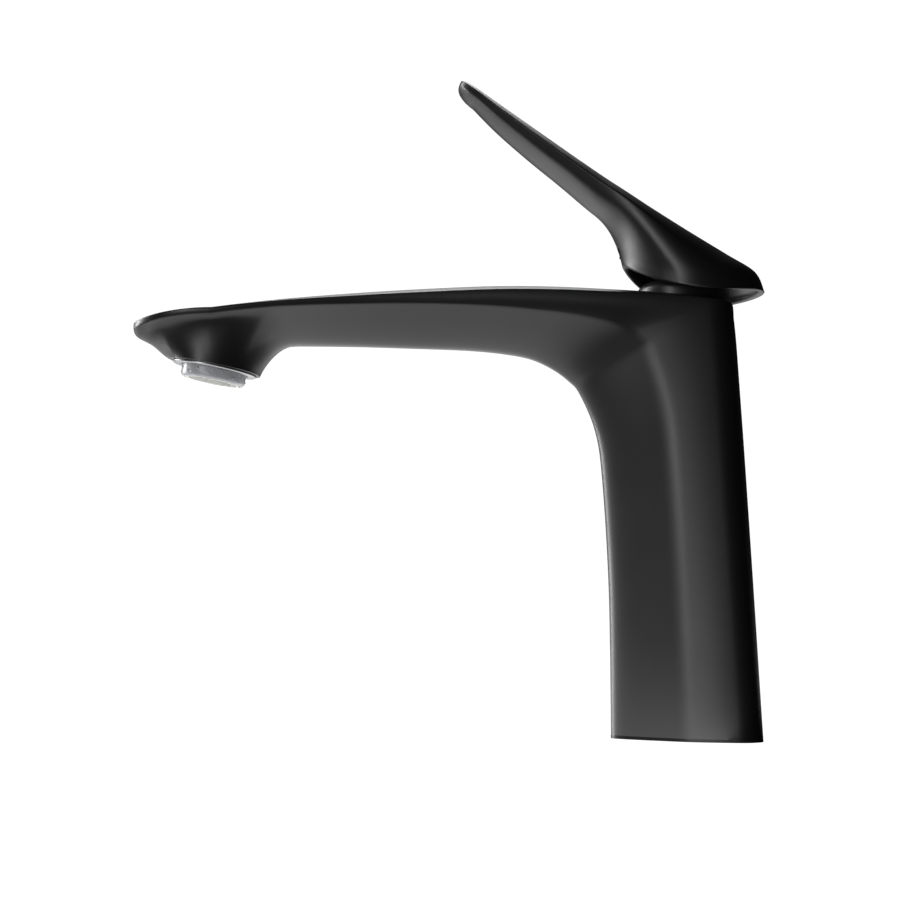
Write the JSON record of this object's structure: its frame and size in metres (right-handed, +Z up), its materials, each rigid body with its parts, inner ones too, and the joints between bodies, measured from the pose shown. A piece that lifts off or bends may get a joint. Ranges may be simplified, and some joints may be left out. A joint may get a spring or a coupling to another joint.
{
  "type": "bathroom mixer faucet",
  "caption": "Single-lever deck basin mixer in matte black: leaf-shaped spout, rising top lever over a domed cartridge and a tilting aerator.",
  "frame": {"origin": "on the deck plane under the middle of the column, between the two inlet bores", "axes": "+Z up, -Y along the spout to the front, +X to the hot-cold side; x = 0 is the mirror plane"},
  "size_m": [0.0472, 0.2084, 0.2174],
  "materials": {
    "black_finish": "satin black coating",
    "brass": "machined",
    "steel": "machined",
    "rubber": "matte",
    "white_plastic": "moulded",
    "ceramic": "lapped",
    "grey_plastic": "smoky translucent"
  },
  "bodies": {
    "root": {"body_casting": "black_finish", "deck_gasket": "rubber", "cartridge_base": "white_plastic", "hot_port_seal": "rubber", "cold_port_seal": "rubber", "outlet_port_seal": "rubber", "fixed_ceramic_disc": "ceramic", "cartridge_housing": "white_plastic", "temperature_limit_ring": "white_plastic", "retaining_nut": "brass", "dome_cap": "black_finish", "aerator_housing": "steel", "aerator_washer": "rubber", "inlet_screen": "steel"},
    "swivel_turret": {"turret": "white_plastic", "lever_pin": "steel"},
    "disc_slide": {"disc_carrier": "white_plastic", "moving_ceramic_disc": "ceramic"},
    "lever": {"lever_handle": "black_finish", "spindle": "steel", "set_screw": "steel", "index_plug": "black_finish"},
    "nozzle": {"swivel_nozzle": "grey_plastic", "spray_grid": "white_plastic", "flow_regulator": "white_plastic"}
  },
  "joints": [
    {"name": "temperature_swivel", "type": "hinge", "parent": "root", "child": "swivel_turret", "pos_m": [0, -0.001, 0.1375], "axis": [0, 0, 1], "range_deg": [-45, 45]},
    {"name": "flow_lift", "type": "hinge", "parent": "swivel_turret", "child": "lever", "pos_m": [0, -0.001, 0.1375], "axis": [-1, 0, 0], "range_deg": [-5.5, 11]},
    {"name": "disc_stroke", "type": "slide", "parent": "swivel_turret", "child": "disc_slide", "axis": [0, -1, 0], "range_m": [-0.0011, 0.0022]},
    {"name": "aerator_tilt", "type": "hinge", "parent": "root", "child": "nozzle", "pos_m": [0, -0.15604, 0.12259], "axis": [1, 0, 0], "range_deg": [-5, 5]}
  ],
  "couplings": [
    {"joint": "disc_stroke", "follows": "flow_lift", "m_per_rad": 0.011}
  ]
}
